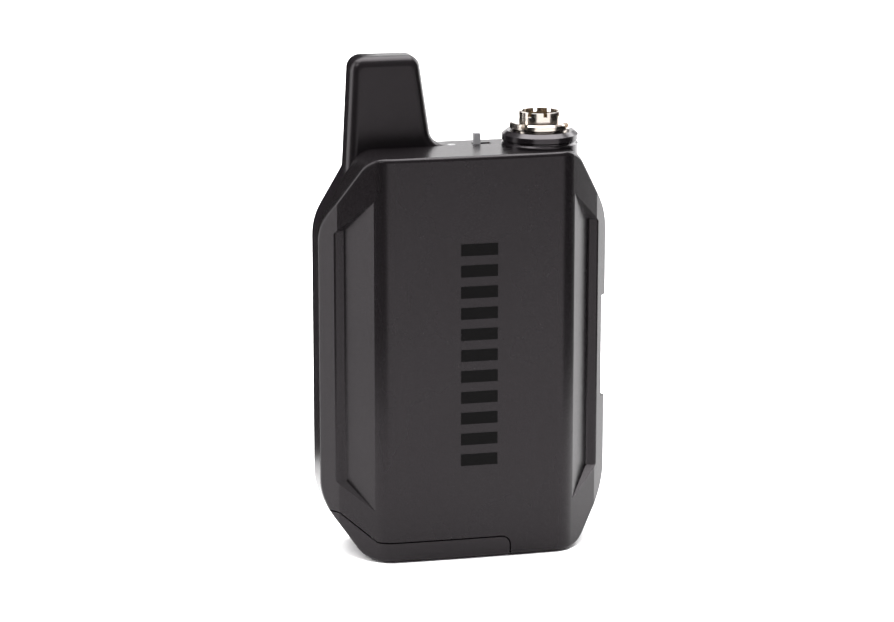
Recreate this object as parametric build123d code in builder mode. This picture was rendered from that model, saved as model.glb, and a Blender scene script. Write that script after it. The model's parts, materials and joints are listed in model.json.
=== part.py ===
from build123d import *
import os
from math import atan2, cos, degrees, radians, sin

# Body-worn wireless transmitter for an electric guitar.
# Frame: millimetres, +X to the right of the front panel, -Y out of the front, +Z up.
# The origin is the centre of the flat base that the case stands on.

os.makedirs("parts", exist_ok=True)

# ---- Case -----------------------------------------------------------------
CASE_WIDTH = 65.0
CASE_HEIGHT = 90.0
CASE_DEPTH = 23.0
FRONT_Y = -CASE_DEPTH / 2
BACK_Y = CASE_DEPTH / 2
RIM_Y = 1.1                       # where the rims of the bevels meet the side walls
SEAM_Y = 2.2                      # back of the front cover
REAR_Y = 2.6                      # front of the rear housing, with the gasket between
WALL = 1.6
TOP_CHAMFER = (9.5, 16.0)         # width and height cut off each upper corner
BOTTOM_CHAMFER = (8.5, 12.0)
UPPER_SHOULDER_RADIUS = 18.0
LOWER_SHOULDER_RADIUS = 14.0
PANEL_CORNER_RADIUS = 5.5
PANEL_HALF = 18.5                 # flat half width of the raised front panel
BEVEL_FOOT = (29.2, -3.2)         # where the bevel turns into the steeper rim
PANEL_ROUND = 6.0
FRONT_EDGE_ROUND = 0.9
BACK_EDGE_ROUND = 2.2
REAR_STEP = 0.25                  # the rear housing stands back by this at the seam
GASKET_BAND = (0.7, 1.5)          # inset of the gasket's outer and inner edge
CASE_SCREW_X = 27.9
CASE_SCREW_Z = (20.0, 68.0)
CASE_SCREW_RADIUS = 1.0
CASE_SCREW_HEAD = (1.9, 1.3)
PILLAR_RADIUS = 2.2

# ---- Side dishes in the bevels --------------------------------------------
DISH_FLOOR_IN = (22.4, -9.3)      # the sunk floor in plan, from the panel ...
DISH_FLOOR_OUT = (27.5, -2.4)     # ... to the valley in front of the rim
DISH_LEDGE = (33.5, -3.4)
DISH_TOP = (80.5, 73.2)           # height of the upper end, at the panel and at the valley
DISH_BOTTOM = (11.5, 17.0)
DISH_EDGE_ROUND = 0.8
DISH_END_SLOPE = (1.3, -2.2, 1.6)  # run of an end wall from the valley out to the bevel

# ---- Antenna lobe ---------------------------------------------------------
ANTENNA_TOP_Z = 110.0
ANTENNA_TOP_X = (-24.4, -9.4)
ANTENNA_ROOT_X = -6.4
ANTENNA_HEEL_Z = 84.9
ANTENNA_Y = (REAR_Y, 10.4)
ANTENNA_CORNER = 3.0
ANTENNA_EDGE = 2.2
ANTENNA_ROOT_ROUND = 4.0
ANTENNA_HEEL_ROUND = 7.0
ANTENNA_WALL = 1.3
AERIAL_X = (-21.0, -12.0)
AERIAL_Y = (5.6, 6.4)
AERIAL_Z = (73.0, 106.5)
AERIAL_SCREW = (-15.0, 78.0)
AERIAL_LEAD = (-18.4, 74.5)
LEAD_RADIUS = 0.6
SMALL_SCREW_RADIUS = 0.8
SMALL_SCREW_HEAD = (1.6, 1.0)
SMALL_BOSS_RADIUS = 2.0

# ---- Instrument connector -------------------------------------------------
CONNECTOR_X = 16.8
CONNECTOR_Y = -0.3
COLLAR_RADIUS = 8.4
COLLAR_NECK = 8.1
COLLAR_Z = (84.5, 93.3)
BUSHING_RADIUS = 4.7
SPIGOT_RADIUS = 4.6
BUSHING_INNER = 3.9
BUSHING_Z = (76.0, 97.4)
BUSHING_FLANGE = (6.0, 82.5)
BUSHING_BORE = (3.2, 80.0)
BUSHING_SLOT = (0.85, 0.9)
WASHER_RADIUS = 6.1
WASHER_HEIGHT = 0.3
NUT_RADIUS = 6.75
NUT_HEIGHT = 1.5
NUT_NOTCH = 1.6
PIN_CIRCLE = 2.1
PIN_RADIUS = 0.55
PIN_ROOT_RADIUS = 0.75
PIN_TOP_Z = 95.6
INSULATOR_TOP_Z = 88.5
JACK_BOARD = ((9.5, 22.5), (-4.0, 6.0), (74.8, 76.0))

# ---- Battery, tray and door -----------------------------------------------
DOOR_END_X = 7.5
DOOR_STRIP_Z = 4.3
DOOR_LEFT_Z = 9.8
DOOR_KNEE_X = (-29.2, -22.0)
DOOR_GAP = 0.3
TRAY_X = (-24.0, 8.0)
TRAY_Y = (-2.0, BACK_Y - WALL)
TRAY_Z = (4.8, 57.0)
TRAY_WALL = 1.0
CELL_X = (-22.8, 6.7)
CELL_Y = (-0.8, 8.5)
CELL_Z = (5.6, 53.4)
CONTACT_Z = 54.6
CONTACT_X = (-16.0, -2.0)
CONTACT_Y = (1.0, 7.0)
RAIL_X = (-15.0, 7.4)             # flange of the tray that the door hooks over
RAIL_Y = -3.2
RAIL_Z = (2.4, 3.1)
HOOK_X = (-14.0, 6.0)
HOOK_Y = (-4.4, -3.6, -2.6)
HOOK_Z = (3.4, 4.1)

# ---- Door lock: an L-shaped bolt that slides along Y behind a post on the door
LOCK_X = 12.5
LOCK_Y = 5.6
LOCK_PAD = (4.6, 3.2)
LOCK_PAD_Z = (0.4, 0.95)
LOCK_POCKET_Z = 1.15
LOCK_NECK = (2.4, 1.8)
LOCK_PLATE = (6.0, 3.4)
LOCK_PLATE_Z = (2.15, 3.1)
LOCK_ARM = (3.4, 1.0)             # left end of the arm and its width
LOCK_HOOK = (1.2, 1.2)
LOCK_POCKET_X = (9.8, 15.2)
LOCK_POCKET_Y = (3.7, 9.0)
LOCK_SLOT_X = (11.0, 14.0)
LOCK_SLOT_Y = (4.4, 8.2)
POST_X = (5.0, 6.4)
POST_Y = (6.4, 8.0)

# ---- Right side service recess --------------------------------------------
RECESS_Z = (32.0, 55.3)
RECESS_Y = (-0.6, 8.2)
RECESS_FLOOR_X = 31.2
RECESS_PLATE = 1.5
USB_Z = 38.0
LINK_Z = 49.0
SIDE_Y = 4.0
LINK_RADIUS = 2.0
SIDE_BOARD_X = (24.0, 25.0)
LINK_GAP = 0.3
USB_SIZE = (8.9, 3.2)
USB_SHEET = 0.3

# ---- Top controls ---------------------------------------------------------
SWITCH_X = 3.9
SWITCH_Y = 5.0
SWITCH_TRAVEL = 2.0
SWITCH_POST = (1.4, 1.4)
SWITCH_TOP_Z = 92.3
SWITCH_SLOT_X = (SWITCH_X - 1.1, SWITCH_X + SWITCH_TRAVEL + 1.1)
SWITCH_SLOT_Y = (SWITCH_Y - 1.0, SWITCH_Y + 1.0)
LAMP_X = -1.8
LAMP_RADIUS = 0.9
TOP_BOARD = ((-6.0, 7.8), (1.0, 8.6), (81.5, 82.7))
SWITCH_BODY = (7.0, 4.0, 4.9)
SWITCH_WELL = (5.2, 2.2, 84.2)

# ---- Main board -----------------------------------------------------------
BOARD_X = 19.0
BOARD_Y = (-7.6, -6.4)
BOARD_Z = (7.5, 83.5)
BOARD_SCREW = (16.2, 11.5, 79.0)

# ---- Belt clip ------------------------------------------------------------
CLIP_PIN_Y = 15.0
CLIP_PIN_Z = 70.0
CLIP_PIN_RADIUS = 1.2
CLIP_EYE_RADIUS = 2.2
CLIP_EYE_BORE = 1.25
CLIP_EYE_X = (4.0, 7.7)
CLIP_LUG_X = (7.9, 9.9)
CLIP_LUG_RADIUS = 2.5
CLIP_HALF_WIDTH = 12.0
CLIP_SHEET = 1.2
CLIP_SHOULDER_Z = 65.5            # the leaf is at full width below this
CLIP_PROFILE = ((17.0, 79.0), (16.0, 73.0), (16.0, 32.0), (12.4, 25.5), (14.4, 20.0))
CLIP_NOTCH_Z = (66.5, 73.5)
CLIP_BEND = 1.2
CLIP_SPRING = (1.3, 1.75, 3.6)    # inner radius, outer radius, half length
CLIP_PLATE = 1.0
CLIP_PLATE_Z = (62.5, 77.5)
CLIP_SCREW_Z = (65.0, 75.0)
CLIP_SCREW_Y = 4.5

# ---- Front panel bars -----------------------------------------------------
BAR_SIZE = (8.2, 2.6)
BAR_X = (-3.6, 4.6)
BAR_POCKET = 0.4
BAR_COUNT = 11
BAR_PITCH = 4.7
BAR_CENTRE_Z = 46.0
BAR_HEIGHT = 0.1

# Outlines seen from the front are drawn on a plane behind the case and extruded through it.
SLAB = 20.0
BEHIND = Plane.XZ.offset(-SLAB)
THROUGH = 2 * SLAB
FORWARD = (0, -1, 0)
UP = (0, 0, 1)


def case_outline(inset=0.0, y=SLAB):
    """Octagonal front outline of the case, drawn on the plane at depth y."""
    half = CASE_WIDTH / 2
    top_x, top_z = TOP_CHAMFER
    low_x, low_z = BOTTOM_CHAMFER
    with BuildSketch(Plane.XZ.offset(-y)) as outline:
        with BuildLine():
            Polyline(
                (half - low_x, 0),
                (half, low_z),
                (half, CASE_HEIGHT - top_z),
                (half - top_x, CASE_HEIGHT),
                (top_x - half, CASE_HEIGHT),
                (-half, CASE_HEIGHT - top_z),
                (-half, low_z),
                (low_x - half, 0),
                close=True,
            )
        make_face()
        sides = [v for v in outline.vertices() if abs(v.X) > half - 0.01]
        fillet([v for v in sides if v.Z > CASE_HEIGHT / 2], radius=UPPER_SHOULDER_RADIUS)
        sides = [v for v in outline.vertices() if abs(v.X) > half - 0.01 and v.Z < low_z + 0.01]
        fillet(sides, radius=LOWER_SHOULDER_RADIUS)
        ends = [v for v in outline.vertices() if abs(v.X) < half - top_x + 2 and (v.Z < 0.01 or v.Z > 89.9)]
        fillet(ends, radius=PANEL_CORNER_RADIUS)
        if inset:
            offset(amount=-inset, kind=Kind.INTERSECTION)
    return outline.sketch


def front_section(dished=False, inset=0.0, back_y=SEAM_Y):
    """Horizontal section of the front half: a soft-edged panel, bevels and steep rims."""
    half = CASE_WIDTH / 2
    foot_x, foot_y = BEVEL_FOOT
    if dished:
        foot_x, foot_y = DISH_FLOOR_OUT
    with BuildSketch(Plane.XY) as section:
        with BuildLine():
            Polyline(
                (PANEL_HALF + 1.9, FRONT_Y + 0.35),
                (foot_x, foot_y),
                (half, RIM_Y),
                (half, back_y),
                (-half, back_y),
                (-half, RIM_Y),
                (-foot_x, foot_y),
                (-PANEL_HALF - 1.9, FRONT_Y + 0.35),
            )
            ThreePointArc(
                (-PANEL_HALF - 1.9, FRONT_Y + 0.35),
                (0, FRONT_Y),
                (PANEL_HALF + 1.9, FRONT_Y + 0.35),
            )
        make_face()
        fillet(section.vertices().group_by(Axis.Y)[0], radius=PANEL_ROUND)
        if inset:
            offset(amount=-inset, kind=Kind.INTERSECTION)
    return section.sketch


def door_region(gap=0.0):
    """Front view of the battery door: the base strip, the knee and the left corner."""
    knee_out, knee_in = DOOR_KNEE_X
    margin = 5.0
    far_x = -CASE_WIDTH / 2 - margin
    with BuildSketch(BEHIND) as region:
        with BuildLine():
            Polyline(
                (far_x, DOOR_LEFT_Z),
                (knee_out, DOOR_LEFT_Z),
                (knee_in, DOOR_STRIP_Z),
                (DOOR_END_X, DOOR_STRIP_Z),
                (DOOR_END_X, -margin),
                (far_x, -margin),
                close=True,
            )
        make_face()
        corners = region.vertices().sort_by_distance((DOOR_END_X, SLAB, DOOR_STRIP_Z))
        fillet(corners[0], radius=1.8)
        knees = [v for v in region.vertices() if far_x + 1 < v.X < DOOR_KNEE_X[1] + 1 and v.Z > 0]
        fillet(knees, radius=8.0)
        if gap:
            offset(amount=gap, kind=Kind.INTERSECTION)
    return region.sketch


def front_edges(form):
    """Edges where the front surfaces turn into the side walls, all the way round."""
    upright = form.edges().filter_by(Axis.Z)
    level = form.edges().filter_by(Axis.Y)
    ahead = [e for e in form.edges() if e.center().Y < SEAM_Y - 0.1]
    return [e for e in ahead if e not in upright + level or abs(e.center().X) > CASE_WIDTH / 2 - 0.1]


def dish_edges(form):
    """The two long edges of each dish: its outer rim and the valley at its foot."""
    upright = [e for e in form.edges() if e.length > 40 and abs(e.center().X) > DISH_FLOOR_IN[0] + 1]
    return [e for e in upright if abs(e.center().X) < DISH_LEDGE[0] - 2 and e.center().Y < RIM_Y - 0.5]


# ---- Shared outer and inner forms -------------------------------------------

def dish_end(heights, side):
    """Sloping plane that closes the upper (side 1) or lower (side -1) end of a dish."""
    run_x, run_y, run_z = DISH_END_SLOPE
    inner = Vector(*DISH_FLOOR_IN, heights[0])
    valley = Vector(*DISH_FLOOR_OUT, heights[1])
    rise = Vector(run_x, run_y, side * run_z)
    return Plane(origin=valley, x_dir=inner - valley, z_dir=(inner - valley).cross(rise) * side)


with BuildPart() as side_dish:
    with BuildSketch(Plane.XY):
        with BuildLine():
            Polyline(
                DISH_FLOOR_IN,
                DISH_FLOOR_OUT,
                DISH_LEDGE,
                (DISH_LEDGE[0], FRONT_Y - 6),
                (DISH_FLOOR_IN[0], FRONT_Y - 6),
                close=True,
            )
        make_face()
    extrude(amount=CASE_HEIGHT)
    split(bisect_by=dish_end(DISH_TOP, 1), keep=Keep.BOTTOM)
    split(bisect_by=dish_end(DISH_BOTTOM, -1), keep=Keep.BOTTOM)

with BuildPart() as front_form:
    extrude(front_section(), amount=CASE_HEIGHT, dir=UP)
    extrude(case_outline(), amount=THROUGH, dir=FORWARD, mode=Mode.INTERSECT)
    fillet(front_edges(front_form), radius=FRONT_EDGE_ROUND)
    add(side_dish.part, mode=Mode.SUBTRACT)
    add(mirror(side_dish.part, about=Plane.YZ), mode=Mode.SUBTRACT)
    fillet(dish_edges(front_form), radius=DISH_EDGE_ROUND)

with BuildPart() as front_hollow:
    extrude(front_section(dished=True, inset=WALL, back_y=BACK_Y), amount=CASE_HEIGHT, dir=UP)
    extrude(case_outline(inset=WALL), amount=THROUGH, dir=FORWARD, mode=Mode.INTERSECT)


def upper_chamfer_x(z, inset=REAR_STEP):
    """Left edge of the case at height z on the upper left chamfer."""
    width, height = TOP_CHAMFER
    slope_length = (width**2 + height**2) ** 0.5
    return -CASE_WIDTH / 2 + (z - CASE_HEIGHT + height) * width / height + inset * slope_length / height


def edge_at(form, xz):
    """The edge along Y that passes through the point xz."""
    return min(
        form.edges().filter_by(Axis.Y),
        key=lambda e: abs(e.center().X - xz[0]) + abs(e.center().Z - xz[1]),
    )


def block(x, y, z, mode=Mode.ADD):
    """Box from (low, high) pairs along each axis."""
    with Locations(((x[0] + x[1]) / 2, (y[0] + y[1]) / 2, (z[0] + z[1]) / 2)):
        Box(x[1] - x[0], y[1] - y[0], z[1] - z[0], mode=mode)


def around(centre, size):
    """(low, high) pair centred on a value."""
    return (centre - size / 2, centre + size / 2)


def sheet_outline(points, thickness):
    """Closed outline of a bent sheet whose inner side follows the points."""
    outer = []
    for i, (y, z) in enumerate(points):
        y0, z0 = points[max(i - 1, 0)]
        y1, z1 = points[min(i + 1, len(points) - 1)]
        before = atan2(z - z0, y - y0) if i else atan2(z1 - z, y1 - y)
        after = atan2(z1 - z, y1 - y) if i < len(points) - 1 else before
        turn = (before + after) / 2
        reach = thickness / cos((after - before) / 2)
        outer.append((y - reach * sin(turn), z + reach * cos(turn)))
    return list(points) + outer[::-1]


def rod_y(x, z, y, radius, mode=Mode.ADD):
    """Round bar along Y from y[0] to y[1]."""
    with Locations((x, (y[0] + y[1]) / 2, z)):
        Cylinder(radius, y[1] - y[0], rotation=(90, 0, 0), mode=mode)


def rod_z(x, y, z, radius, mode=Mode.ADD):
    """Round bar along Z from z[0] to z[1]."""
    with Locations((x, y, (z[0] + z[1]) / 2)):
        Cylinder(radius, z[1] - z[0], mode=mode)


def rod_x(y, z, x, radius, mode=Mode.ADD):
    """Round bar along X from x[0] to x[1]."""
    with Locations(((x[0] + x[1]) / 2, y, z)):
        Cylinder(radius, x[1] - x[0], rotation=(0, 90, 0), mode=mode)


def finish(piece, name):
    """Label a finished piece and write its file."""
    piece.part.label = name
    export_step(piece.part, f"parts/{name}.step")


case_screw_spots = [(x, z) for x in (-CASE_SCREW_X, CASE_SCREW_X) for z in CASE_SCREW_Z]
board_screw_spots = [(x, z) for x in (-BOARD_SCREW[0], BOARD_SCREW[0]) for z in BOARD_SCREW[1:]]

with BuildPart() as antenna_lobe:
    with BuildSketch(Plane.XZ.offset(-ANTENNA_Y[1])) as lobe_profile:
        rear_top = CASE_HEIGHT - REAR_STEP
        heel = (upper_chamfer_x(ANTENNA_HEEL_Z), ANTENNA_HEEL_Z)
        root = (ANTENNA_ROOT_X, rear_top)
        with BuildLine():
            Polyline(
                (ANTENNA_TOP_X[0], ANTENNA_TOP_Z),
                (ANTENNA_TOP_X[1], ANTENNA_TOP_Z),
                root,
                (1.0, rear_top),
                (1.0, 80.0),
                (upper_chamfer_x(80.0), 80.0),
                heel,
                close=True,
            )
        make_face()
    extrude(amount=ANTENNA_Y[1] - ANTENNA_Y[0])
    corners = antenna_lobe.edges().filter_by(Axis.Y).sort_by(Axis.Z)
    fillet(corners[-2:], radius=ANTENNA_CORNER)
    fillet(edge_at(antenna_lobe, root), radius=ANTENNA_ROOT_ROUND)
    fillet(edge_at(antenna_lobe, heel), radius=ANTENNA_HEEL_ROUND)
    rims = antenna_lobe.faces().filter_by(Axis.Y).edges()
    rounded = [e for e in rims if e.center().Z > 80.1 and e.center().X < 0.9]
    fillet(rounded, radius=ANTENNA_EDGE)

with BuildPart() as rear_form:
    extrude(case_outline(inset=REAR_STEP, y=BACK_Y), amount=BACK_Y - REAR_Y, dir=FORWARD)
    fillet(rear_form.faces().sort_by(Axis.Y)[-1].edges(), radius=BACK_EDGE_ROUND)
    add(antenna_lobe.part)

with BuildPart() as rear_hollow:
    inner_y = BACK_Y - WALL
    extrude(case_outline(inset=REAR_STEP + WALL, y=inner_y), amount=inner_y - REAR_Y, dir=FORWARD)
    with BuildSketch(Plane.XZ.offset(-ANTENNA_Y[1] + ANTENNA_WALL)):
        with BuildLine():
            Polyline(
                (ANTENNA_TOP_X[0] + ANTENNA_WALL, ANTENNA_TOP_Z - ANTENNA_WALL),
                (ANTENNA_TOP_X[1] - ANTENNA_WALL, ANTENNA_TOP_Z - ANTENNA_WALL),
                (ANTENNA_ROOT_X - 2.0, CASE_HEIGHT),
                (ANTENNA_ROOT_X - 2.0, CASE_HEIGHT - 4),
                (-22.0, CASE_HEIGHT - 4),
                (-23.6, CASE_HEIGHT),
                close=True,
            )
        make_face()
    extrude(amount=ANTENNA_Y[1] - ANTENNA_Y[0] - 2 * ANTENNA_WALL)

with BuildPart() as seam_band:
    extrude(case_outline(inset=GASKET_BAND[0], y=REAR_Y), amount=REAR_Y - SEAM_Y, dir=FORWARD)

window = ((RECESS_FLOOR_X - RECESS_PLATE, CASE_WIDTH), RECESS_Y, RECESS_Z)
collar_hole_z = (COLLAR_Z[0] - 4, CASE_HEIGHT + 4)

# ---- Case ---------------------------------------------------------------------

with BuildPart() as front_cover:
    add(front_form.part)
    add(front_hollow.part, mode=Mode.SUBTRACT)
    extrude(door_region(DOOR_GAP), amount=THROUGH, dir=FORWARD, mode=Mode.SUBTRACT)
    rod_z(CONNECTOR_X, CONNECTOR_Y, collar_hole_z, COLLAR_RADIUS, mode=Mode.SUBTRACT)
    block(*window, mode=Mode.SUBTRACT)
    for x, z in case_screw_spots:
        rod_y(x, z, (-1.6, SEAM_Y), PILLAR_RADIUS)
        rod_y(x, z, (-0.9, SEAM_Y), CASE_SCREW_RADIUS, mode=Mode.SUBTRACT)
    for x, z in board_screw_spots:
        rod_y(x, z, (-9.7, BOARD_Y[0]), SMALL_BOSS_RADIUS)
        rod_y(x, z, (-9.4, BOARD_Y[0]), SMALL_SCREW_RADIUS, mode=Mode.SUBTRACT)
    for i in range(BAR_COUNT):
        bar_z = BAR_CENTRE_Z + (i - (BAR_COUNT - 1) / 2) * BAR_PITCH
        bar_span = (bar_z - BAR_SIZE[1] / 2, bar_z + BAR_SIZE[1] / 2)
        block(BAR_X, (FRONT_Y - 1, FRONT_Y + BAR_POCKET), bar_span, mode=Mode.SUBTRACT)
finish(front_cover, "front_cover")

with BuildPart() as panel_bars:
    for i in range(BAR_COUNT):
        bar_z = BAR_CENTRE_Z + (i - (BAR_COUNT - 1) / 2) * BAR_PITCH
        bar_span = (bar_z - BAR_SIZE[1] / 2, bar_z + BAR_SIZE[1] / 2)
        block(BAR_X, (FRONT_Y - BAR_HEIGHT, FRONT_Y + BAR_POCKET), bar_span)
finish(panel_bars, "panel_bars")

with BuildPart() as rear_housing:
    add(rear_form.part)
    add(rear_hollow.part, mode=Mode.SUBTRACT)
    extrude(door_region(DOOR_GAP), amount=THROUGH, dir=FORWARD, mode=Mode.SUBTRACT)
    rod_z(CONNECTOR_X, CONNECTOR_Y, collar_hole_z, COLLAR_RADIUS, mode=Mode.SUBTRACT)
    block(*window, mode=Mode.SUBTRACT)
    for x, z in case_screw_spots:
        rod_y(x, z, (REAR_Y, BACK_Y - 1), PILLAR_RADIUS)
        rod_y(x, z, (REAR_Y, BACK_Y + 1), CASE_SCREW_RADIUS, mode=Mode.SUBTRACT)
        counterbore_y = (BACK_Y - CASE_SCREW_HEAD[1], BACK_Y + 1)
        rod_y(x, z, counterbore_y, CASE_SCREW_HEAD[0] + 0.1, mode=Mode.SUBTRACT)
    rod_y(AERIAL_SCREW[0], AERIAL_SCREW[1], (AERIAL_Y[1], BACK_Y - 1), SMALL_BOSS_RADIUS)
    rod_y(AERIAL_SCREW[0], AERIAL_SCREW[1], (AERIAL_Y[1], BACK_Y - 2), SMALL_SCREW_RADIUS, mode=Mode.SUBTRACT)
    for z in CLIP_SCREW_Z:
        rod_y(0, z, (CLIP_SCREW_Y - 1, BACK_Y - 1), SMALL_BOSS_RADIUS)
        rod_y(0, z, (CLIP_SCREW_Y, BACK_Y + 1), CASE_SCREW_RADIUS, mode=Mode.SUBTRACT)
    block(SWITCH_SLOT_X, SWITCH_SLOT_Y, (86.0, 91.0), mode=Mode.SUBTRACT)
    rod_z(LAMP_X, SWITCH_Y, (86.0, 91.0), LAMP_RADIUS, mode=Mode.SUBTRACT)
    block(LOCK_POCKET_X, LOCK_POCKET_Y, (-1.0, LOCK_POCKET_Z), mode=Mode.SUBTRACT)
    block(LOCK_SLOT_X, LOCK_SLOT_Y, (0.0, 3.0), mode=Mode.SUBTRACT)
finish(rear_housing, "rear_housing")

with BuildPart() as case_gasket:
    add(seam_band.part)
    with BuildSketch(Plane.XZ.offset(-REAR_Y - 1)):
        add(case_outline(inset=GASKET_BAND[1], y=REAR_Y + 1))
    extrude(amount=3, mode=Mode.SUBTRACT)
    extrude(door_region(DOOR_GAP), amount=THROUGH, dir=FORWARD, mode=Mode.SUBTRACT)
    rod_z(CONNECTOR_X, CONNECTOR_Y, collar_hole_z, COLLAR_RADIUS, mode=Mode.SUBTRACT)
    block(*window, mode=Mode.SUBTRACT)
finish(case_gasket, "case_gasket")

with BuildPart() as case_screws:
    for x, z in case_screw_spots:
        head_y = BACK_Y - CASE_SCREW_HEAD[1]
        rod_y(x, z, (-0.6, head_y), CASE_SCREW_RADIUS)
        rod_y(x, z, (head_y, BACK_Y - 0.1), CASE_SCREW_HEAD[0])
        rod_y(x, z, (BACK_Y - 0.8, BACK_Y), 0.8, mode=Mode.SUBTRACT)
finish(case_screws, "case_screws")

with BuildPart() as rear_label:
    block((-20.0, 20.0), (BACK_Y, BACK_Y + 0.1), (31.0, 56.0))
    fillet(rear_label.edges().filter_by(Axis.Y), radius=2.0)
finish(rear_label, "rear_label")

# ---- Battery door, lock bolt, tray and battery ----------------------------------

with BuildPart() as battery_door:
    add(front_form.part)
    add(seam_band.part)
    add(rear_form.part)
    extrude(door_region(), amount=THROUGH, dir=FORWARD, mode=Mode.INTERSECT)
    add(front_hollow.part, mode=Mode.SUBTRACT)
    block(HOOK_X, (HOOK_Y[0], HOOK_Y[1]), (WALL - 0.5, HOOK_Z[1]))
    block(HOOK_X, (HOOK_Y[0], HOOK_Y[2]), HOOK_Z)
    block(POST_X, POST_Y, (WALL - 0.5, HOOK_Z[1]))
finish(battery_door, "battery_door")

with BuildPart() as door_lock_bolt:
    arm_y = LOCK_Y - LOCK_PLATE[1] / 2
    block(around(LOCK_X, LOCK_PAD[0]), around(LOCK_Y, LOCK_PAD[1]), LOCK_PAD_Z)
    block(around(LOCK_X, LOCK_NECK[0]), around(LOCK_Y, LOCK_NECK[1]), (LOCK_PAD_Z[0], LOCK_PLATE_Z[1]))
    block(around(LOCK_X, LOCK_PLATE[0]), around(LOCK_Y, LOCK_PLATE[1]), LOCK_PLATE_Z)
    block((LOCK_ARM[0], LOCK_X), (arm_y, arm_y + LOCK_ARM[1]), LOCK_PLATE_Z)
    block(
        (LOCK_ARM[0], LOCK_ARM[0] + LOCK_HOOK[0]),
        (arm_y, arm_y + LOCK_ARM[1] + LOCK_HOOK[1]),
        LOCK_PLATE_Z,
    )
    for rib in (-1.4, 0.0, 1.4):
        rib_z = (LOCK_PAD_Z[0] - 0.2, LOCK_PAD_Z[1])
        block(around(LOCK_X + rib, 0.5), around(LOCK_Y, LOCK_PAD[1] - 0.6), rib_z)
finish(door_lock_bolt, "door_lock_bolt")

with BuildPart() as battery_tray:
    inner_x = (TRAY_X[0] + TRAY_WALL, TRAY_X[1] - TRAY_WALL)
    inner_y = (TRAY_Y[0] + TRAY_WALL, TRAY_Y[1] - TRAY_WALL)
    block(TRAY_X, TRAY_Y, TRAY_Z)
    block(RAIL_X, (TRAY_Y[0], inner_y[0]), (RAIL_Z[0], TRAY_Z[0]))
    block(RAIL_X, (RAIL_Y, inner_y[0]), RAIL_Z)
    block(inner_x, inner_y, (TRAY_Z[0], TRAY_Z[1] - TRAY_WALL), mode=Mode.SUBTRACT)
finish(battery_tray, "battery_tray")

with BuildPart() as battery_pack:
    block(CELL_X, CELL_Y, CELL_Z)
    fillet(battery_pack.edges().filter_by(Axis.Z), radius=2.5)
finish(battery_pack, "battery_pack")

with BuildPart() as contact_block:
    block(CONTACT_X, CONTACT_Y, (CONTACT_Z, TRAY_Z[1] - TRAY_WALL))
finish(contact_block, "contact_block")

with BuildPart() as battery_contacts:
    for x in (-13.0, -9.0, -5.0):
        block(around(x, 2.0), (2.0, 6.0), (CELL_Z[1], CONTACT_Z))
finish(battery_contacts, "battery_contacts")

# ---- Main board -----------------------------------------------------------------

with BuildPart() as main_board:
    block((-BOARD_X, BOARD_X), BOARD_Y, BOARD_Z)
    for x, z in board_screw_spots:
        rod_y(x, z, (BOARD_Y[0] - 1, BOARD_Y[1] + 1), SMALL_SCREW_RADIUS, mode=Mode.SUBTRACT)
finish(main_board, "main_board")

with BuildPart() as board_screws:
    for x, z in board_screw_spots:
        rod_y(x, z, (-9.2, BOARD_Y[1]), SMALL_SCREW_RADIUS)
        rod_y(x, z, (BOARD_Y[1], BOARD_Y[1] + SMALL_SCREW_HEAD[1]), SMALL_SCREW_HEAD[0])
finish(board_screws, "board_screws")

with BuildPart() as shield_can:
    block((-14.0, 4.0), (BOARD_Y[1], -3.6), (60.0, 77.0))
    block((-13.7, 3.7), (BOARD_Y[1], -3.9), (60.3, 76.7), mode=Mode.SUBTRACT)
finish(shield_can, "shield_can")

with BuildPart() as circuit_chips:
    block((-12.0, -5.0), (BOARD_Y[1], BOARD_Y[1] + 1.0), (40.0, 47.0))
    block((2.0, 7.0), (BOARD_Y[1], BOARD_Y[1] + 1.0), (28.0, 34.0))
    block((8.0, 13.0), (BOARD_Y[1], BOARD_Y[1] + 2.2), (60.0, 66.0))
    block((-10.0, -6.0), (BOARD_Y[1], BOARD_Y[1] + 1.4), (20.0, 24.0))
finish(circuit_chips, "circuit_chips")

# ---- Aerial ---------------------------------------------------------------------

with BuildPart() as antenna_board:
    block(AERIAL_X, AERIAL_Y, AERIAL_Z)
    rod_y(*AERIAL_SCREW, (AERIAL_Y[0] - 1, AERIAL_Y[1] + 1), SMALL_SCREW_RADIUS, mode=Mode.SUBTRACT)
finish(antenna_board, "antenna_board")

with BuildPart() as antenna_screw:
    rod_y(*AERIAL_SCREW, (AERIAL_Y[0], AERIAL_Y[1] + 2.6), SMALL_SCREW_RADIUS)
    rod_y(*AERIAL_SCREW, (AERIAL_Y[0] - SMALL_SCREW_HEAD[1], AERIAL_Y[0]), SMALL_SCREW_HEAD[0])
finish(antenna_screw, "antenna_screw")

with BuildPart() as antenna_lead:
    rod_y(*AERIAL_LEAD, (BOARD_Y[1], AERIAL_Y[0]), LEAD_RADIUS)
finish(antenna_lead, "antenna_lead")

# ---- Power switch and status lamp -------------------------------------------------

with BuildPart() as top_board:
    block(*TOP_BOARD)
finish(top_board, "top_board")

with BuildPart() as switch_body:
    body_z = (TOP_BOARD[2][1], TOP_BOARD[2][1] + SWITCH_BODY[2])
    block(around(SWITCH_X + SWITCH_TRAVEL / 2, SWITCH_BODY[0]), around(SWITCH_Y, SWITCH_BODY[1]), body_z)
    well_z = (SWITCH_WELL[2], body_z[1] + 1)
    block(
        around(SWITCH_X + SWITCH_TRAVEL / 2, SWITCH_WELL[0]),
        around(SWITCH_Y, SWITCH_WELL[1]),
        well_z,
        mode=Mode.SUBTRACT,
    )
finish(switch_body, "switch_body")

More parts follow.
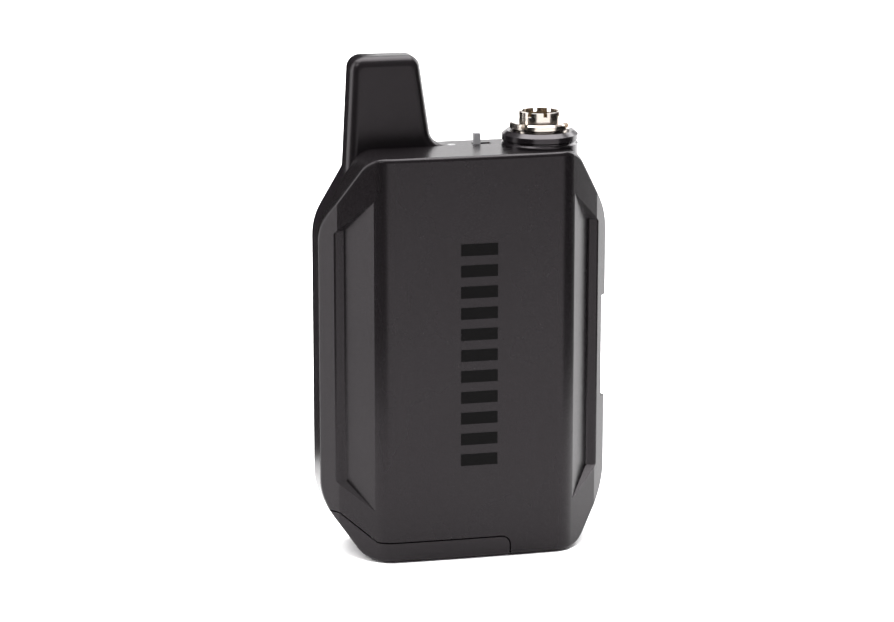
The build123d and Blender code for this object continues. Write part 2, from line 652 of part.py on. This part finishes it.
with BuildPart() as power_switch:
    block(around(SWITCH_X, SWITCH_POST[0]), around(SWITCH_Y, SWITCH_POST[1]), (86.0, SWITCH_TOP_Z))
    fillet(power_switch.faces().sort_by(Axis.Z)[-1].edges(), radius=0.35)
    block(around(SWITCH_X, 2.4), around(SWITCH_Y, 1.6), (84.5, 86.4))
finish(power_switch, "power_switch")

with BuildPart() as status_led:
    block(around(LAMP_X, 1.6), around(SWITCH_Y, 1.2), (TOP_BOARD[2][1], TOP_BOARD[2][1] + 0.9))
finish(status_led, "status_led")

with BuildPart() as status_lamp:
    rear_ceiling = CASE_HEIGHT - REAR_STEP - WALL
    rod_z(LAMP_X, SWITCH_Y, (84.2, CASE_HEIGHT - REAR_STEP), LAMP_RADIUS)
    rod_z(LAMP_X, SWITCH_Y, (rear_ceiling - 0.8, rear_ceiling), LAMP_RADIUS + 0.4)
finish(status_lamp, "status_lamp")

# ---- Instrument connector -----------------------------------------------------------

with BuildPart() as connector_collar:
    with BuildSketch(Plane.XZ):
        with BuildLine():
            Polyline(
                (BUSHING_RADIUS, COLLAR_Z[0]),
                (COLLAR_RADIUS, COLLAR_Z[0]),
                (COLLAR_RADIUS, CASE_HEIGHT + 0.5),
                (COLLAR_NECK, CASE_HEIGHT + 0.9),
                (COLLAR_NECK, CASE_HEIGHT + 1.1),
                (COLLAR_RADIUS, CASE_HEIGHT + 1.4),
                (COLLAR_RADIUS, CASE_HEIGHT + 2.5),
                (COLLAR_RADIUS - 1.0, COLLAR_Z[1]),
                (BUSHING_RADIUS, COLLAR_Z[1]),
                close=True,
            )
        make_face()
    revolve(axis=Axis.Z)
connector_collar.part.position = (CONNECTOR_X, CONNECTOR_Y, 0)
finish(connector_collar, "connector_collar")

with BuildPart() as connector_bushing:
    nut_top = COLLAR_Z[1] + WASHER_HEIGHT + NUT_HEIGHT
    rod_z(CONNECTOR_X, CONNECTOR_Y, (BUSHING_Z[0], nut_top), BUSHING_RADIUS)
    rod_z(CONNECTOR_X, CONNECTOR_Y, (nut_top, BUSHING_Z[1]), SPIGOT_RADIUS)
    rod_z(CONNECTOR_X, CONNECTOR_Y, (BUSHING_FLANGE[1], COLLAR_Z[0]), BUSHING_FLANGE[0])
    rod_z(CONNECTOR_X, CONNECTOR_Y, (BUSHING_BORE[1], BUSHING_Z[1] + 1), BUSHING_INNER, mode=Mode.SUBTRACT)
    rod_z(CONNECTOR_X, CONNECTOR_Y, (BUSHING_Z[0] - 1, BUSHING_Z[1]), BUSHING_BORE[0], mode=Mode.SUBTRACT)
    for turn in range(4):
        with Locations((CONNECTOR_X, CONNECTOR_Y, BUSHING_Z[1] - BUSHING_SLOT[1] + 1.0)):
            Box(2 * COLLAR_RADIUS, BUSHING_SLOT[0], 2.0, rotation=(0, 0, 45 * turn), mode=Mode.SUBTRACT)
finish(connector_bushing, "connector_bushing")

with BuildPart() as connector_washer:
    rod_z(CONNECTOR_X, CONNECTOR_Y, (COLLAR_Z[1], COLLAR_Z[1] + WASHER_HEIGHT), WASHER_RADIUS)
    rod_z(CONNECTOR_X, CONNECTOR_Y, BUSHING_Z, BUSHING_RADIUS, mode=Mode.SUBTRACT)
finish(connector_washer, "connector_washer")

with BuildPart() as connector_nut:
    nut_base = COLLAR_Z[1] + WASHER_HEIGHT
    rod_z(CONNECTOR_X, CONNECTOR_Y, (nut_base, nut_base + NUT_HEIGHT), NUT_RADIUS)
    chamfer(connector_nut.edges().filter_by(GeomType.CIRCLE), length=0.3)
    for turn in range(4):
        angle = radians(45 + 90 * turn)
        notch_x = CONNECTOR_X + NUT_RADIUS * cos(angle)
        notch_y = CONNECTOR_Y + NUT_RADIUS * sin(angle)
        with Locations((notch_x, notch_y, nut_base + NUT_HEIGHT)):
            Box(NUT_NOTCH, NUT_NOTCH, NUT_NOTCH, rotation=(0, 0, degrees(angle)), mode=Mode.SUBTRACT)
    rod_z(CONNECTOR_X, CONNECTOR_Y, BUSHING_Z, BUSHING_RADIUS, mode=Mode.SUBTRACT)
finish(connector_nut, "connector_nut")

with BuildPart() as connector_pins:
    with Locations((CONNECTOR_X, CONNECTOR_Y, 0)):
        with PolarLocations(PIN_CIRCLE, 4, start_angle=45):
            rod_z(0, 0, (JACK_BOARD[2][1], INSULATOR_TOP_Z), PIN_ROOT_RADIUS)
            rod_z(0, 0, (INSULATOR_TOP_Z, PIN_TOP_Z), PIN_RADIUS)
finish(connector_pins, "connector_pins")

with BuildPart() as connector_insulator:
    rod_z(CONNECTOR_X, CONNECTOR_Y, (BUSHING_BORE[1], INSULATOR_TOP_Z), BUSHING_INNER)
    add(connector_pins.part, mode=Mode.SUBTRACT)
finish(connector_insulator, "connector_insulator")

with BuildPart() as jack_board:
    block(*JACK_BOARD)
finish(jack_board, "jack_board")

# ---- Side service recess ---------------------------------------------------------------

with BuildPart() as side_board:
    block(SIDE_BOARD_X, (-1.0, 8.6), (30.0, 57.0))
finish(side_board, "side_board")

with BuildPart() as usb_connector:
    with BuildSketch(Plane.YZ.offset(SIDE_BOARD_X[1])):
        with Locations((SIDE_Y, USB_Z)):
            SlotOverall(USB_SIZE[0], USB_SIZE[1], rotation=90)
    extrude(amount=RECESS_FLOOR_X - SIDE_BOARD_X[1])
    with BuildSketch(Plane.YZ.offset(SIDE_BOARD_X[1] + 0.6)):
        with Locations((SIDE_Y, USB_Z)):
            SlotOverall(USB_SIZE[0] - 2 * USB_SHEET, USB_SIZE[1] - 2 * USB_SHEET, rotation=90)
    extrude(amount=RECESS_FLOOR_X, mode=Mode.SUBTRACT)
finish(usb_connector, "usb_connector")

with BuildPart() as usb_tongue:
    block((SIDE_BOARD_X[1] + 0.6, RECESS_FLOOR_X - 0.8), around(SIDE_Y, 0.7), around(USB_Z, 6.7))
finish(usb_tongue, "usb_tongue")

with BuildPart() as side_panel:
    block((window[0][0], RECESS_FLOOR_X), RECESS_Y, RECESS_Z)
    with BuildSketch(Plane.YZ.offset(window[0][0] - 1)):
        with Locations((SIDE_Y, USB_Z)):
            SlotOverall(USB_SIZE[0], USB_SIZE[1], rotation=90)
    extrude(amount=4, mode=Mode.SUBTRACT)
    rod_x(SIDE_Y, LINK_Z, (window[0][0] - 1, CASE_WIDTH), LINK_RADIUS, mode=Mode.SUBTRACT)
finish(side_panel, "side_panel")

with BuildPart() as link_button:
    rod_x(SIDE_Y, LINK_Z, (27.7, RECESS_FLOOR_X + 0.4), LINK_RADIUS - LINK_GAP)
    fillet(link_button.edges().filter_by(GeomType.CIRCLE).sort_by(Axis.X)[-1], radius=0.3)
    rod_x(SIDE_Y, LINK_Z, (28.5, 29.4), LINK_RADIUS + 0.5)
finish(link_button, "link_button")

with BuildPart() as link_switch:
    block((SIDE_BOARD_X[1], 27.0), around(SIDE_Y, 4.0), around(LINK_Z, 4.0))
finish(link_switch, "link_switch")

# ---- Belt clip ----------------------------------------------------------------------------

with BuildPart() as clip_bracket:
    block((-CLIP_LUG_X[1], CLIP_LUG_X[1]), (BACK_Y, BACK_Y + CLIP_PLATE), CLIP_PLATE_Z)
    for side in (-1, 1):
        lug_x = sorted((side * CLIP_LUG_X[0], side * CLIP_LUG_X[1]))
        block(lug_x, (BACK_Y, CLIP_PIN_Y), around(CLIP_PIN_Z, 2 * CLIP_LUG_RADIUS))
        rod_x(CLIP_PIN_Y, CLIP_PIN_Z, lug_x, CLIP_LUG_RADIUS)
        rod_x(CLIP_PIN_Y, CLIP_PIN_Z, lug_x, CLIP_PIN_RADIUS, mode=Mode.SUBTRACT)
    for z in CLIP_SCREW_Z:
        rod_y(0, z, (BACK_Y, BACK_Y + 2), CASE_SCREW_RADIUS, mode=Mode.SUBTRACT)
finish(clip_bracket, "clip_bracket")

with BuildPart() as clip_screws:
    for z in CLIP_SCREW_Z:
        rod_y(0, z, (CLIP_SCREW_Y + 0.3, BACK_Y + CLIP_PLATE), CASE_SCREW_RADIUS)
        rod_y(0, z, (BACK_Y + CLIP_PLATE, BACK_Y + CLIP_PLATE + 0.6), CASE_SCREW_HEAD[0])
finish(clip_screws, "clip_screws")

with BuildPart() as clip_hinge_pin:
    rod_x(CLIP_PIN_Y, CLIP_PIN_Z, (-CLIP_LUG_X[1] - 0.2, CLIP_LUG_X[1] + 0.2), CLIP_PIN_RADIUS)
finish(clip_hinge_pin, "clip_hinge_pin")

with BuildPart() as clip_spring:
    spring_x = (-CLIP_SPRING[2], CLIP_SPRING[2])
    rod_x(CLIP_PIN_Y, CLIP_PIN_Z, spring_x, CLIP_SPRING[1])
    rod_x(CLIP_PIN_Y, CLIP_PIN_Z, spring_x, CLIP_SPRING[0], mode=Mode.SUBTRACT)
finish(clip_spring, "clip_spring")

with BuildPart() as belt_clip:
    with BuildSketch(Plane.YZ.offset(-CLIP_HALF_WIDTH)):
        with BuildLine():
            Polyline(*sheet_outline(CLIP_PROFILE, CLIP_SHEET), close=True)
        make_face()
    extrude(amount=2 * CLIP_HALF_WIDTH)
    fillet(belt_clip.edges().filter_by(Axis.X).sort_by(Axis.Z)[2:-2], radius=CLIP_BEND)
    high = (CLIP_SHOULDER_Z, CASE_HEIGHT)
    block((-20.0, -CLIP_EYE_X[1]), (BACK_Y, 25.0), high, mode=Mode.SUBTRACT)
    block((CLIP_EYE_X[1], 20.0), (BACK_Y, 25.0), high, mode=Mode.SUBTRACT)
    shoulders = [e for e in belt_clip.edges().filter_by(Axis.Y) if abs(e.center().Z - CLIP_SHOULDER_Z) < 0.1]
    fillet([e for e in shoulders if abs(e.center().X) > CLIP_EYE_X[1] + 1], radius=2.5)
    block((-CLIP_EYE_X[0], CLIP_EYE_X[0]), (BACK_Y, 25.0), CLIP_NOTCH_Z, mode=Mode.SUBTRACT)
    for side in (-1, 1):
        eye_x = sorted((side * CLIP_EYE_X[0], side * CLIP_EYE_X[1]))
        rod_x(CLIP_PIN_Y, CLIP_PIN_Z, eye_x, CLIP_EYE_RADIUS)
        rod_x(CLIP_PIN_Y, CLIP_PIN_Z, eye_x, CLIP_EYE_BORE, mode=Mode.SUBTRACT)
finish(belt_clip, "belt_clip")
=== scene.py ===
import json
import math

import bpy
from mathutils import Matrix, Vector


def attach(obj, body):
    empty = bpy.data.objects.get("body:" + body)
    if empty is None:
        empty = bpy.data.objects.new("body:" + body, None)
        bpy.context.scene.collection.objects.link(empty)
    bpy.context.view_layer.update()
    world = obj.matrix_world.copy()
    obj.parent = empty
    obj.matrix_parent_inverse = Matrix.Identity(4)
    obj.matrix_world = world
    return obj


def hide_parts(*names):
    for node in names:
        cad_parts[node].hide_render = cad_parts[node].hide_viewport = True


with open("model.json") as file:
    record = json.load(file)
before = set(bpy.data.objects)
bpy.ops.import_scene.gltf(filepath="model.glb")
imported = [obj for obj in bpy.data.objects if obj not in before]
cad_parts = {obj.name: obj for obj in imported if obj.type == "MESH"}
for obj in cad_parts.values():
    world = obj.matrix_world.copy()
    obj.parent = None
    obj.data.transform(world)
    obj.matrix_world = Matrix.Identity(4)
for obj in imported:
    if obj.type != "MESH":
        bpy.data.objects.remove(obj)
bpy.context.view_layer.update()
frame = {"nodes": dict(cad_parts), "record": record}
nodes = frame["nodes"]


def place_in_scene(name, data):
    """New object with this data, linked into the scene."""
    obj = bpy.data.objects.new(name, data)
    bpy.context.scene.collection.objects.link(obj)
    return obj


# ---- Materials ----------------------------------------------------------------

MOTTLE_SCALE = 45.0               # broad noise that shifts the colour
MOTTLE_DETAIL = 4.0
MOTTLE_RANGE = (0.3, 0.7)
GRAIN_DETAIL = 3.0                # fine noise that shifts the gloss and lifts the surface
GRAIN_HEIGHT = 0.00005
GLOSS_SPREAD = 0.02
LEAST_ROUGHNESS = 0.02
COAT_ROUGHNESS = 0.12
WHITE = (1.0, 1.0, 1.0)
WARM = (1.0, 0.925, 0.97)         # tint of the highlights on the case
CASE_MOTTLE = 0.12
CASE_GRAIN_SCALE = 9000.0


def add_mottle(tree, coords, shader, colour, grain):
    """Base colour that drifts a little either side of the given one."""
    noise = tree.nodes.new("ShaderNodeTexNoise")
    noise.inputs["Scale"].default_value = MOTTLE_SCALE
    noise.inputs["Detail"].default_value = MOTTLE_DETAIL
    ramp = tree.nodes.new("ShaderNodeValToRGB")
    low = [c * (1.0 - grain) for c in colour]
    high = [min(1.0, c * (1.0 + grain)) for c in colour]
    for stop, position, shade in zip(ramp.color_ramp.elements, MOTTLE_RANGE, (low, high)):
        stop.position = position
        stop.color = (*shade, 1.0)
    tree.links.new(coords.outputs["Object"], noise.inputs["Vector"])
    tree.links.new(noise.outputs["Fac"], ramp.inputs["Fac"])
    tree.links.new(ramp.outputs["Color"], shader.inputs["Base Color"])


def add_grain(tree, coords, shader, roughness, spread, scale, bump):
    """Gloss that varies with a fine grain, which also lifts the surface by the bump."""
    noise = tree.nodes.new("ShaderNodeTexNoise")
    noise.inputs["Scale"].default_value = scale
    noise.inputs["Detail"].default_value = GRAIN_DETAIL
    gloss = tree.nodes.new("ShaderNodeMapRange")
    gloss.inputs["To Min"].default_value = max(LEAST_ROUGHNESS, roughness - spread)
    gloss.inputs["To Max"].default_value = roughness + spread
    tree.links.new(coords.outputs["Object"], noise.inputs["Vector"])
    tree.links.new(noise.outputs["Fac"], gloss.inputs["Value"])
    tree.links.new(gloss.outputs["Result"], shader.inputs["Roughness"])
    if bump:
        lift = tree.nodes.new("ShaderNodeBump")
        lift.inputs["Strength"].default_value = bump
        lift.inputs["Distance"].default_value = GRAIN_HEIGHT
        tree.links.new(noise.outputs["Fac"], lift.inputs["Height"])
        tree.links.new(lift.outputs["Normal"], shader.inputs["Normal"])


def material(
    name, colour, roughness, grain, scale, bump=0.0, metallic=0.0, coat=0.0, wear=0.0, shine=0.5,
    tint=WHITE,
):
    """Procedural surface whose colour and gloss vary with noise."""
    mat = bpy.data.materials.new(name)
    mat.use_nodes = True
    tree = mat.node_tree
    shader = tree.nodes["Principled BSDF"]
    shader.inputs["Metallic"].default_value = metallic
    shader.inputs["Specular IOR Level"].default_value = shine
    shader.inputs["Specular Tint"].default_value = (*tint, 1.0)
    shader.inputs["Coat Weight"].default_value = coat
    shader.inputs["Coat Roughness"].default_value = COAT_ROUGHNESS
    coords = tree.nodes.new("ShaderNodeTexCoord")
    add_mottle(tree, coords, shader, colour, grain)
    add_grain(tree, coords, shader, roughness, GLOSS_SPREAD + wear, scale, bump)
    return mat


finishes = {}


def finish(name, *surface, **extras):
    """Material kept under its own name."""
    finishes[name] = material(name, *surface, **extras)


def case_paint(name, colour, roughness, bump, shine):
    """Satin black of the case, with a grain too fine to see as single specks."""
    finish(name, colour, roughness, CASE_MOTTLE, CASE_GRAIN_SCALE, bump, shine=shine, tint=WARM)


case_paint("cover_paint", (0.0052, 0.0044, 0.0049), 0.27, 0.01, 0.185)
case_paint("housing_plastic", (0.0050, 0.0042, 0.0047), 0.29, 0.02, 0.21)
case_paint("collar_paint", (0.0060, 0.0050, 0.0058), 0.22, 0.03, 0.38)
finish("gloss_black", (0.003, 0.003, 0.003), 0.22, 0.15, 900.0, 0.02, shine=0.30)
finish("bar_black", (0.0022, 0.0020, 0.0021), 0.45, 0.15, 900.0, 0.02, shine=0.05)
finish("black_plastic", (0.012, 0.012, 0.012), 0.45, 0.15, 1500.0, 0.15)
finish("nickel", (0.60, 0.545, 0.49), 0.20, 0.05, 1400.0, 0.05, metallic=1.0, wear=0.03)
finish("gold_pins", (0.80, 0.58, 0.24), 0.22, 0.06, 1200.0, 0.05, metallic=1.0)
finish("switch_grey", (0.34, 0.34, 0.35), 0.40, 0.06, 1500.0, 0.10)
finish("lamp_clear", (0.050, 0.055, 0.055), 0.15, 0.05, 900.0, 0.03, coat=0.4)
finish("seal_rubber", (0.006, 0.006, 0.006), 0.70, 0.20, 1500.0, 0.20)
finish("circuit_board", (0.010, 0.070, 0.028), 0.35, 0.20, 700.0, 0.10)
finish("chip_epoxy", (0.014, 0.014, 0.015), 0.55, 0.15, 1500.0, 0.15)
finish("tin_plate", (0.50, 0.50, 0.49), 0.35, 0.08, 900.0, 0.08, metallic=1.0, wear=0.04)
finish("screw_steel", (0.060, 0.060, 0.062), 0.35, 0.15, 1200.0, 0.10, metallic=0.9)
finish("spring_steel", (0.32, 0.32, 0.32), 0.28, 0.10, 1200.0, 0.08, metallic=1.0)
finish("clip_coat", (0.010, 0.010, 0.010), 0.38, 0.20, 2000.0, 0.15, metallic=0.2)
finish("cell_wrap", (0.030, 0.030, 0.034), 0.30, 0.15, 600.0, 0.08)
finish("label_film", (0.080, 0.080, 0.084), 0.40, 0.08, 1200.0, 0.05)

# Two pieces look different from the rest of their material slot.
own_looks = {"panel_bars": "bar_black", "connector_collar": "collar_paint"}
slots = {entry["node"]: entry["material_slot"] for entry in frame["record"]["subparts"]}
for name, obj in nodes.items():
    obj.data.materials.clear()
    obj.data.materials.append(finishes[own_looks.get(name, slots[name])])

# ---- Torsion spring on the clip pin ---------------------------------------------

PIN = Vector((0.0, 0.015, 0.070))
COIL_RADIUS = 0.00152
COIL_HALF_LENGTH = 0.0034
WIRE_RADIUS = 0.00022
TURNS = 14
STEPS_PER_TURN = 20


def wire(name, points, radius, surface):
    """A round wire through the points."""
    curve = bpy.data.curves.new(name, "CURVE")
    curve.dimensions = "3D"
    curve.bevel_depth = radius
    curve.bevel_resolution = 3
    curve.use_fill_caps = True
    path = curve.splines.new("POLY")
    path.points.add(len(points) - 1)
    for point, place in zip(path.points, points):
        point.co = (*place, 1.0)
    curve.materials.append(surface)
    return place_in_scene(name, curve)


def coil():
    """Points along the wire's centre line, wound round the pin."""
    steps = TURNS * STEPS_PER_TURN
    points = []
    for i in range(steps + 1):
        turn = 2 * math.pi * i / STEPS_PER_TURN
        along = -COIL_HALF_LENGTH + 2 * COIL_HALF_LENGTH * i / steps
        across = (COIL_RADIUS * math.cos(turn), COIL_RADIUS * math.sin(turn))
        points.append(PIN + Vector((along, *across)))
    return points


spring = wire("torsion_spring", coil(), WIRE_RADIUS, finishes["spring_steel"])
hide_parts("clip_spring")
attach(spring, "housing")

# ---- Floor and reflection cards -------------------------------------------------

FLOOR_REACH = 4.0                 # how far the floor runs forward and to each side
FLOOR_DROP = 0.0002               # the floor lies this far under the object
BEND_START = 1.2
BEND_RADIUS = 1.0
BEND_STEPS = 12
WALL_TOP = 5.0
BACKDROP_SHADE = 0.85
CARD_STEPS = 12
CARD_HEIGHT = 0.35
CARD_RADIUS = 0.16


def sweep():
    """Floor that curves up into a back wall."""
    profile = [(-FLOOR_REACH, 0.0), (BEND_START, 0.0)]
    for i in range(1, BEND_STEPS + 1):
        angle = math.radians(90 * i / BEND_STEPS)
        y = BEND_START + BEND_RADIUS * math.sin(angle)
        profile.append((y, BEND_RADIUS - BEND_RADIUS * math.cos(angle)))
    profile.append((BEND_START + BEND_RADIUS, WALL_TOP))
    verts = [(x, y, z - FLOOR_DROP) for y, z in profile for x in (-FLOOR_REACH, FLOOR_REACH)]
    faces = [(2 * i, 2 * i + 1, 2 * i + 3, 2 * i + 2) for i in range(len(profile) - 1)]
    mesh = bpy.data.meshes.new("sweep")
    mesh.from_pydata(verts, [], faces)
    for face in mesh.polygons:
        face.use_smooth = True
    mesh.materials.append(material("backdrop", (BACKDROP_SHADE,) * 3, 0.8, 0.01, 3.0))
    return place_in_scene("sweep", mesh)


def flag(name, start, end, radius=CARD_RADIUS, height=CARD_HEIGHT):
    """Dark upright card round the object, seen only in its reflections."""
    verts = []
    for i in range(CARD_STEPS + 1):
        angle = math.radians(start + (end - start) * i / CARD_STEPS)
        for z in (0.0, height):
            verts.append((radius * math.sin(angle), -radius * math.cos(angle), z))
    faces = [(2 * i, 2 * i + 2, 2 * i + 3, 2 * i + 1) for i in range(CARD_STEPS)]
    mesh = bpy.data.meshes.new(name)
    mesh.from_pydata(verts, [], faces)
    mesh.materials.append(material(name, (0.004, 0.004, 0.004), 0.9, 0.1, 50.0, shine=0.0))
    obj = place_in_scene(name, mesh)
    obj.visible_camera = False
    obj.visible_diffuse = False
    obj.visible_shadow = False
    obj.visible_transmission = False
    return obj


# ---- Light ----------------------------------------------------------------------

CENTRE = (0.0, 0.0, 0.055)        # middle of the object
NEAR_TOP = (0.0, 0.0, 0.07)
BACK_WALL = (0.0, 1.9, 0.4)
WORLD_COLOUR = (1.0, 0.94, 0.975, 1.0)
WORLD_STRENGTH = 0.40


def softbox(name, place, target, size, power):
    """Rectangular area light aimed at a point."""
    lamp = bpy.data.lights.new(name, "AREA")
    lamp.shape = "RECTANGLE"
    lamp.size = size[0]
    lamp.size_y = size[1]
    lamp.energy = power
    obj = place_in_scene(name, lamp)
    obj.location = place
    obj.rotation_euler = (Vector(target) - Vector(place)).to_track_quat("-Z", "Y").to_euler()
    return obj


backdrop = sweep()
flags = [
    flag("left_flag", -84.0, -27.0),
    flag("right_flag", 47.0, 100.0),
    flag("rear_flag", -178.0, -128.0, 0.085, 0.25),
]
lights = [
    softbox("left_box", (-0.95, 0.20, 0.30), CENTRE, (0.5, 1.0), 9.0),
    softbox("right_box", (0.85, 0.45, 0.30), CENTRE, (0.5, 1.0), 11.0),
    softbox("top_box", (0.0, 0.05, 0.9), CENTRE, (1.2, 0.8), 30.0),
    softbox("back_box", (0.0, 1.3, 1.6), BACK_WALL, (2.4, 0.8), 40.0),
    softbox("corner_light", (-0.62, -0.42, 0.66), NEAR_TOP, (0.10, 0.10), 2.2),
]

world = bpy.context.scene.world or bpy.data.worlds.new("world")
bpy.context.scene.world = world
world.use_nodes = True
sky = world.node_tree.nodes["Background"]
sky.inputs["Color"].default_value = WORLD_COLOUR
sky.inputs["Strength"].default_value = WORLD_STRENGTH

# ---- Camera ---------------------------------------------------------------------

AZIMUTH = math.radians(-13.5)
ELEVATION = math.radians(13.2)
DISTANCE = 0.700
LENS = 128.0
NEAREST = 0.01
AIM = Vector((-0.004, 0.0, 0.0535))

away = Vector((
    math.sin(AZIMUTH) * math.cos(ELEVATION),
    -math.cos(AZIMUTH) * math.cos(ELEVATION),
    math.sin(ELEVATION),
))
camera_data = bpy.data.cameras.new("camera")
camera_data.lens = LENS
camera_data.clip_start = NEAREST
camera = place_in_scene("camera", camera_data)
camera.location = AIM + away * DISTANCE
camera.rotation_euler = (-away).to_track_quat("-Z", "Y").to_euler()
bpy.context.scene.camera = camera
bpy.context.scene.view_settings.view_transform = "Standard"
